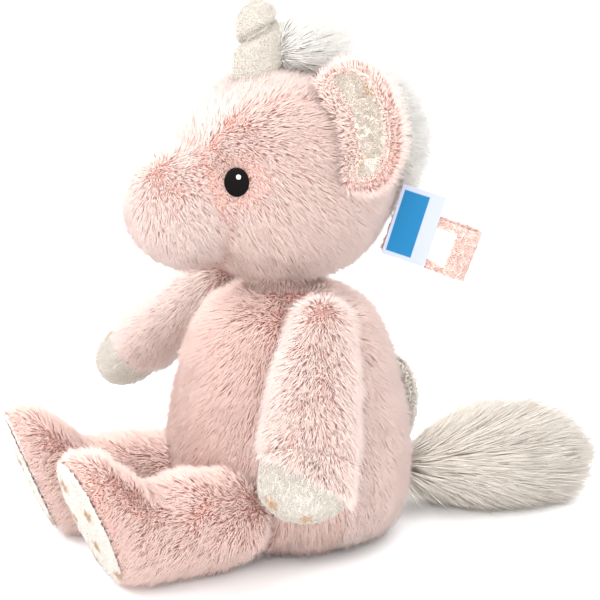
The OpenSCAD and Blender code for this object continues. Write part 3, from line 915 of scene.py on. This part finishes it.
for side, sign in (("left", 1.0), ("right", -1.0)):
    back_node, lining_node = "ear_" + side + "_back", "ear_" + side + "_lining"
    shell = knitted(back_node + "_ground", back_node, voxel=0.0011, inset=0.0003, rounds=3)
    shell.data.materials.append(pink_ground)
    points, normals = surface(shell)
    from_lining = room(points, shape_of(lining_node))
    from_head = room(points, shape_of("head_left", "head_right", "head_gusset", "mane", "forelock"))
    root = joint_place[side + "_ear_flop"]
    shell_points, shell_facing = points, normals
    fringe = pile(
        back_node + "_pile",
        shell,
        blush_pile,
        along(normals, unit(points - root) + (0, 0, 0.2)),
        (from_lining > 0.0008) & (from_head > 0.0015),
        np.clip((from_head + 0.002) / 0.005, 0.25, 1.0),
        Density=2.2e6,
        Length=0.0064,
        Seed=50 + (sign > 0),
    )
    on_body(side + "_ear", "pink_plush", [shell, fringe], back_node, fill=0.3)
    lining = knitted(lining_node + "_ground", lining_node, voxel=0.0009, inset=0.0001, rounds=2)
    lining.data.materials.append(cream_ground)
    points, normals = surface(lining)
    backing = room(points, shape_of(back_node))
    middle = points.mean(0)
    facing = unit(normals[backing > 0.0009].mean(0))
    upward = unit(np.array([0, 0, 1.0]) - facing * facing[2])
    across = np.cross(upward, facing)
    places = [
        (middle + upward * 0.016 + across * 0.003, facing),
        (middle - upward * 0.004 - across * 0.006, facing),
        (middle - upward * 0.018 + across * 0.004, facing),
    ]
    ink = printed(points, normals, places, star_tip)
    at_edge = (from_lining > 0.0006) & (from_lining < 0.0035) & (shell_facing @ facing > -0.2)
    rim_points = shell_points[at_edge]
    rim_tree = KDTree(len(rim_points))
    for index, point in enumerate(rim_points):
        rim_tree.insert(point, index)
    rim_tree.balance()
    to_rim = np.array([rim_tree.find(point)[2] for point in points])
    at_head = room(points, shape_of("head_left", "head_right", "head_gusset"))
    at_rim = ((to_rim < 0.0046) | (at_head < 0.0085)) & (backing > 0.0009)
    edge = pile(
        "ear_" + side + "_rim_pile",
        lining,
        blush_pile,
        along(normals, unit(points - middle)) * 0.4,
        at_rim,
        1.0 - 0.4 * step(0.0015, 0.0050, np.minimum(to_rim, at_head - 0.004)),
        Density=2.4e6,
        Length=0.0056,
        Stand=0.8,
        Seed=56 + (sign > 0),
    )
    on_body(side + "_ear", "pink_plush", [edge])
    # Near the fold at the bottom more root colour shows, as painted shade.
    fold_shade = 1 - step(0.004, 0.014, np.linalg.norm(points - root, axis=1) - 0.008)
    nap = pile(
        lining_node + "_pile",
        lining,
        shaded_lining_pile,
        along(normals, unit(points - root)),
        (backing > 0.0009) & ~at_rim,
        1.0,
        ink=ink,
        deep=fold_shade * 0.5,
        **dict(fleece_nap, Density=3.4e6),
        Seed=54 + (sign > 0),
    )
    on_body(side + "_ear", "cream_fleece", [lining, nap], lining_node, fill=0.2)

# Arms ----------------------------------------------------------------------------------------
# A flattened tube of pink plush with a rounded paw of cream fleece sewn into the cuff. The pile is
# brushed from the shoulder to the paw.
arm_pile = 0.0072
# The arms get a lighter copy of the pink pile: painted light for arms that sit partly in the shade
# of the head and torso.
lit_arm_pile = pile_finish("Arm pile", (0.98, 0.55, 0.47, 1.0), (1.0, 0.84, 0.79, 1.0))
cuff_reach = {"left": 0.078, "right": 0.070}
cuff_way = {"left": (0.1, -0.6, -0.8), "right": (-0.7, -0.36, -0.62)}
for side in ("left", "right"):
    sleeve_node, paw_node = "arm_" + side + "_sleeve", "arm_" + side + "_paw"
    filling = "arm_" + side + "_stuffing"
    arm = knitted("arm_" + side + "_ground", filling, voxel=0.0025, inset=0.0014)
    arm.data.materials.append(pink_ground)
    points, normals = surface(arm)
    panel, seam = panels(points, sleeve_node, paw_node)
    shoulder = joint_place[side + "_arm_swing"]
    low, high = (np.array(corner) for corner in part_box(paw_node))
    paw_middle = (low + high) / 2
    way = unit(paw_middle - shoulder)
    free = room(
        points,
        shape_of("torso_front", "torso_back", "head_left", "head_right", "leg_" + side + "_cover"),
    )
    sleeve = pile(
        sleeve_node + "_pile",
        arm,
        lit_arm_pile,
        along(normals, way + (0, 0, -0.25)),
        (panel == 0) & (free > 0.001),
        trimmed(free, arm_pile) * (1 - 0.25 * (seam < 0.004)),
        Length=arm_pile,
        Seed=60 + len(side),
    )
    on_body(side + "_arm", "pink_plush", [arm], filling, fill=0.6)
    on_body(side + "_arm", "pink_plush", [sleeve], sleeve_node)
    paw = knitted(paw_node + "_ground", paw_node, voxel=0.0011, inset=0.0010, rounds=6)
    paw.data.materials.append(cream_ground)
    points, normals = surface(paw)
    outward = np.array([1.0 if side == "left" else -1.0, 0.0, 0.0])
    aims = [
        outward * 0.9 - way * 0.6,
        outward * 0.5 + np.array([0, -0.9, 0.2]) - way * 0.7,
        way + outward * 0.3,
        -outward * 0.6 + np.array([0, -0.8, 0.0]) - way * 0.4,
        np.array([0, 0.9, 0.0]) - way * 0.5 + outward * 0.3,
        np.array([0, -1.0, 0.0]) + way * 0.5,
    ]
    tree = shape_of(paw_node)
    places = []
    for aim in aims:
        hit = tree.ray_cast(Vector(paw_middle + unit(aim) * 0.08), Vector(-unit(aim)))
        if hit[0] is not None:
            places.append((np.array(hit[0]), np.array(hit[1])))
    ink = printed(points, normals, places, star_tip)
    inside = (points - paw_middle) @ way < -0.019
    cuff = shoulder + way * cuff_reach[side]
    covered = (points - cuff) @ unit(cuff_way[side]) < 0
    clear = room(points, shape_of(filling)) > 0.0012
    overlap = pile(
        "arm_" + side + "_cuff_pile",
        paw,
        lit_arm_pile,
        along(normals, way + (0, 0, -0.25)),
        covered & clear & ~inside,
        0.9,
        Length=arm_pile,
        Seed=64 + len(side),
    )
    on_body(side + "_arm", "pink_plush", [overlap])
    nap = pile(
        paw_node + "_pile",
        paw,
        cream_pile,
        along(normals, way),
        ~inside & ~covered & clear,
        1.0,
        ink=ink,
        **fleece_nap,
        Tuft=0.003,
        Seed=66 + len(side),
    )
    on_body(side + "_arm", "cream_fleece", [paw, nap], paw_node, fill=0.6)

# Legs ----------------------------------------------------------------------------------------
# A stuffed tube of pink plush that ends in a large upright foot, with a flat oval sole of cream
# fleece printed with gold stars. A dart gathers the cover at the ankle.
leg_pile = 0.0072
# The legs get a darker, deeper copy of the pink pile: painted shade.
shaded_leg_pile = pile_finish("Leg pile", (0.92, 0.46, 0.39, 1.0), (0.94, 0.725, 0.665, 1.0))
# The soles get a lighter copy of the cream fleece: painted light for soles that face away from the
# lamps.
lit_sole_root = (0.92, 0.86, 0.79, 1.0)
lit_sole_tip = (0.96, 0.91, 0.855, 1.0)
lit_sole_pile = pile_finish("Sole fleece", lit_sole_root, lit_sole_tip, ink=star_gold, mottling=0.1)
star_places = (
    (0.022, -0.006),
    (0.010, 0.011),
    (0.002, -0.012),
    (-0.010, 0.004),
    (-0.022, -0.009),
    (-0.026, 0.012),
)
for side in ("left", "right"):
    cover_node, sole_node = "leg_" + side + "_cover", "leg_" + side + "_sole"
    filling = "leg_" + side + "_stuffing"
    leg = knitted("leg_" + side + "_ground", filling, voxel=0.0028, inset=0.0014)
    leg.data.materials.append(pink_ground)
    points, normals = surface(leg)
    hip = joint_place[side + "_leg_spread"]
    low, high = (np.array(corner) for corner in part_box(sole_node))
    sole_middle = (low + high) / 2
    way = unit(sole_middle - hip)
    other = "right" if side == "left" else "left"
    free = room(
        points,
        shape_of("torso_front", "torso_back", "leg_" + other + "_cover", "arm_" + side + "_paw"),
    )
    to_sole = room(points, shape_of(sole_node))
    shown = (free > 0.001) & ~((points[:, 2] < 0.006) & (normals[:, 2] < -0.8))
    shown &= ~((to_sole < 0.0055) & (np.abs(normals @ way) > 0.75))
    cover = pile(
        cover_node + "_pile",
        leg,
        shaded_leg_pile,
        along(normals, way + (0, 0, -0.35)),
        shown,
        trimmed(free, leg_pile) * off_floor(points) * (0.5 + 0.5 * step(0.002, 0.012, to_sole)),
        Length=leg_pile,
        Seed=70 + len(side),
    )
    on_body(side + "_leg", "pink_plush", [leg], filling, fill=0.6)
    on_body(side + "_leg", "pink_plush", [cover], cover_node)
    sole = knitted(sole_node + "_ground", sole_node, voxel=0.0012, inset=0.0006, rounds=5)
    sole.data.materials.append(cream_ground)
    points, normals = surface(sole)
    facing = unit(normals[normals @ way > 0.6].mean(0))
    upward = unit(np.array([0, 0, 1.0]) - facing * facing[2])
    across = np.cross(upward, facing)
    places = [
        (sole_middle + upward * up + across * over, facing)
        for up, over in star_places
    ]
    ink = printed(points, normals, places, star_tip)
    nap = pile(
        sole_node + "_pile",
        sole,
        lit_sole_pile,
        along(normals, (0, 0, -1)),
        normals @ way > 0.0,
        1.0,
        ink=ink,
        **fleece_nap,
        Tuft=0.003,
        Seed=76 + len(side),
    )
    on_body(side + "_leg", "cream_fleece", [sole, nap], sole_node, fill=0.3)

# Tail ----------------------------------------------------------------------------------------
# A plume of white long pile over a little stuffing, on a backing of pink plush that shows
# underneath. It lies on the floor behind the seat, full at the middle and rounded at the end.
tail_share = 0.93
tail_full = 0.50
tail_slices = 24
slice_half = 0.05
narrowest = 0.05
aside, tip_height = 0.012, 0.03
backing_share = 0.84
# The white plume is coloured warm grey-beige: painted shade on white pile.
shaded_tail_pile = pile_finish("Tail pile", (0.74, 0.67, 0.60, 1.0), (0.85, 0.785, 0.715, 1.0))
tail = knitted("tail_ground", "tail_stuffing", voxel=0.0028, inset=0.0010)
tail.data.materials.append(white_ground)
points, normals = surface(tail)
tail_root = joint_place["tail_swing"]
points[:, :2] = tail_root[:2] + (points[:, :2] - tail_root[:2]) * tail_share
reach = (points[:, 1] - tail_root[1]) / (points[:, 1].max() - tail_root[1])
slices = np.linspace(0, 1, tail_slices)
middle = np.array([points[np.abs(reach - share) < slice_half].mean(0) for share in slices])
middle = np.array([np.interp(reach, slices, middle[:, axis]) for axis in (0, 2)]).T
past_full = np.clip(reach - tail_full, 0, 1) / (1 - tail_full)
taper = np.sqrt(np.clip(1 - past_full**2, narrowest, 1))
points[:, [0, 2]] = middle + (points[:, [0, 2]] - middle) * taper[:, None]
moved(tail, points)
points, normals = surface(tail)
low, high = (np.array(corner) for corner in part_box("tail_fur"))
way = unit(np.array([(low[0] + high[0]) / 2 + aside, high[1], tip_height]) - tail_root)
free = room(points, shape_of("torso_front", "torso_back"))
above_floor = off_floor(points, full=0.010, least=0.2)
near_end = step(high[1] - 0.055, high[1] - 0.015, points[:, 1])
under = room(points, shape_of("tail_backing")) < 0.0035
plume = pile(
    "tail_fur_pile",
    tail,
    shaded_tail_pile,
    along(normals, way),
    (free > 0.001) & ~under,
    np.clip((free + 0.004) / 0.012, 0.2, 1.0) * above_floor * (1 - 0.55 * near_end),
    Density=1.1e6,
    Length=0.021,
    Thickness=0.00042,
    Stand=0.36,
    Bend=0.5,
    Wander=0.32,
    Tuft=0.010,
    Gather=0.45,
    Segments=2,
    Seed=80,
)
on_body("tail", "white_fur", [tail], "tail_stuffing", fill=0.5)
on_body("tail", "white_fur", [plume], "tail_fur")
backing = knitted("tail_backing_ground", "tail_backing", voxel=0.0015, inset=0.0003, rounds=3)
backing.data.materials.append(pink_ground)
points, normals = surface(backing)
points[:, :2] = tail_root[:2] + (points[:, :2] - tail_root[:2]) * backing_share
moved(backing, points)
free = room(points, shape_of("torso_front", "torso_back"))
nap = pile(
    "tail_backing_pile",
    backing,
    rose_pile,
    along(normals, way),
    (free > 0.001) & (np.abs(normals[:, 2]) < 0.8),
    0.8,
    Length=0.005,
    Stand=0.4,
    Seed=82,
)
on_body("tail", "deep_pink_plush", [backing, nap], "tail_backing", fill=0.2)

# Hanging loop --------------------------------------------------------------------------------
# A ribbon of pink fleece with a short nap, folded in half with both ends sewn into the seam at the
# nape.
loop_pile = pile_finish("Ribbon fleece", blush_root, (0.88, 0.68, 0.62, 1.0))
ribbon = knitted("hanging_loop_ground", "hanging_loop", voxel=0.0007, inset=0.0002, rounds=2)
ribbon.data.materials.append(plain_finish("Ribbon", (0.90, 0.62, 0.56)))
points, normals = surface(ribbon)
bare = room(points, shape_of("care_label")) < 0.0012
nap = pile(
    "hanging_loop_pile",
    ribbon,
    loop_pile,
    along(normals, (0.3, 0.5, -0.6)),
    ~bare & (room(points, shape_of("woven_label")) > 0.0015),
    1.0,
    Density=4.0e6,
    Length=0.0010,
    Thickness=0.00020,
    Stand=0.7,
    Wander=0.5,
    Seed=90,
)
on_body("loop", "deep_pink_plush", [ribbon, nap], "hanging_loop")

# Labels --------------------------------------------------------------------------------------
# A woven satin label sewn in beside the loop, plain but for a blue band, and a small blank care
# label stitched to the ribbon. Both are thin cloth; the woven label has a slight wave.
satin_wave = 0.0006
label_blue = (0.0, 0.16, 0.36, 1.0)
label_white = (0.45, 0.49, 0.61, 1.0)


def label(name, node, wave, finish):
    """A thin piece of cloth in the place of a flat node, with a UV map along its sides."""
    middle, tall, wide, out, corners = plane_of(node)
    tall = tall if tall[2] > 0 else -tall
    wide = wide if wide[1] > 0 else -wide
    out = np.cross(wide, tall)
    spread = corners - middle
    half_w, half_h = np.abs(spread @ wide).max(), np.abs(spread @ tall).max()
    half_t = np.abs(spread @ out).max() * 0.7
    columns, rows, rib_height = 26, 40, 0.00004
    verts, places, faces = [], [], []
    for face_side in (1, -1):
        for row in range(rows + 1):
            for column in range(columns + 1):
                u, v = column / columns, row / rows
                lift = wave * math.sin(2.4 * u + 1.2 * v + 0.4) * (0.3 + u)
                grain = rib_height * math.sin(v * rows * math.pi)
                place = middle + wide * (2 * u - 1) * half_w + tall * (2 * v - 1) * half_h
                verts.append(place + out * (lift + grain + face_side * half_t))
                places.append((u, v))
    stride = columns + 1
    half = (rows + 1) * stride
    for row in range(rows):
        for column in range(columns):
            a = row * stride + column
            faces.append((a, a + 1, a + stride + 1, a + stride))
            faces.append((half + a, half + a + stride, half + a + stride + 1, half + a + 1))
    for column in range(columns):
        top = rows * stride + column
        faces.append((column, half + column, half + column + 1, column + 1))
        faces.append((top, top + 1, half + top + 1, half + top))
    for row in range(rows):
        a, b = row * stride, row * stride + columns
        faces.append((a, a + stride, half + a + stride, half + a))
        faces.append((b, half + b, half + b + stride, b + stride))
    cloth = closed(name, verts, faces, finish, smooth=False)
    layer = cloth.data.uv_layers.new(name="Cloth")
    for loop in cloth.data.loops:
        layer.data[loop.index].uv = places[loop.vertex_index]
    return cloth


woven_satin = plain_finish("Woven label", label_white[:3], rough=0.45, sheen=0.2)
shader = woven_satin.node_tree.nodes["Principled BSDF"]
new = Wire(woven_satin.node_tree).node
place = new("ShaderNodeSeparateXYZ", {}, {0: new("ShaderNodeUVMap", {"uv_map": "Cloth"})})
across, along_side = place, place.out(1)
band_middle, band_half, band_half_height = 0.36, 0.30, 0.44
inside_w = band_half - across.math("ABSOLUTE", across - band_middle)
inside_h = band_half_height - across.math("ABSOLUTE", along_side - 0.5)
band = inside_w.math("MINIMUM", inside_w * 60.0, inside_h * 80.0)
band = band.math("MAXIMUM", band.math("MINIMUM", band, 1.0), 0.0)
ribs = across.math("SINE", along_side * 420.0) * 0.03 + 1.0
colour = new(
    "ShaderNodeMix", {"data_type": "RGBA"}, {0: band, 6: label_white, 7: label_blue}, out=2
)
woven_satin.node_tree.links.new(colour.times(ribs).socket, shader.inputs["Base Color"])
woven = label("woven_label_cloth", "woven_label", satin_wave, woven_satin)
on_body("label", "woven_ribbon", [woven], "woven_label")
care = label(
    "care_label_cloth",
    "care_label",
    0.0,
    plain_finish("Care label", (0.80, 0.80, 0.80), rough=0.5, sheen=0.1),
)
on_body("loop", "woven_ribbon", [care], "care_label")

# Floor, light and camera ---------------------------------------------------------------------
# A plain pale flat floor, large soft lamps, and a long lens at the height of the toy's chest.
floor_colour = (0.95, 0.95, 0.95)
floor = placed("floor", bpy.data.meshes.new("floor"))
ground = bmesh.new()
bmesh.ops.create_grid(ground, x_segments=1, y_segments=1, size=6.0)
ground.to_mesh(floor.data)
ground.free()
floor.data.materials.append(plain_finish("Pale floor", floor_colour, rough=0.6, sheen=0.0))

world = bpy.data.worlds.new("Studio")
scene.world = world
world.use_nodes = True
world.node_tree.nodes["Background"].inputs["Color"].default_value = (1.0, 1.0, 1.0, 1.0)
world.node_tree.nodes["Background"].inputs["Strength"].default_value = 1.06


def lamp(name, place, aim, size, power):
    """A large soft square lamp that points at aim."""
    light = bpy.data.lights.new(name, "AREA")
    light.size = size
    light.energy = power
    obj = bpy.data.objects.new(name, light)
    scene.collection.objects.link(obj)
    obj.location = place
    obj.rotation_euler = (Vector(aim) - Vector(place)).to_track_quat("-Z", "Y").to_euler()
    return obj


lamp("Key", (-0.7, -1.1, 1.2), (0, 0, 0.14), 0.9, 20)
lamp("Fill", (1.5, -0.9, 0.8), (0, 0, 0.14), 1.2, 24)
lamp("Top", (0.3, 0.6, 1.6), (0, 0, 0.1), 1.0, 10)
lamp("Back", (-0.8, 1.4, 0.9), (0, 0, 0.12), 1.0, 12)

camera_place = (0.8557, -0.4382, 0.3480)
turn, tip = math.radians(62.5), math.radians(13.0)
back = Vector((math.sin(turn) * math.cos(tip), -math.cos(turn) * math.cos(tip), math.sin(tip)))
right = Vector((math.cos(turn), math.sin(turn), 0.0))
up = back.cross(right)
lens = bpy.data.cameras.new("Camera")
lens.sensor_width = 36.0
lens.lens = 112.5
camera = bpy.data.objects.new("Camera", lens)
scene.collection.objects.link(camera)
aim = Matrix((right, up, back)).transposed().to_4x4()
camera.matrix_world = Matrix.Translation(camera_place) @ aim
scene.camera = camera
scene.view_settings.view_transform = "Standard"
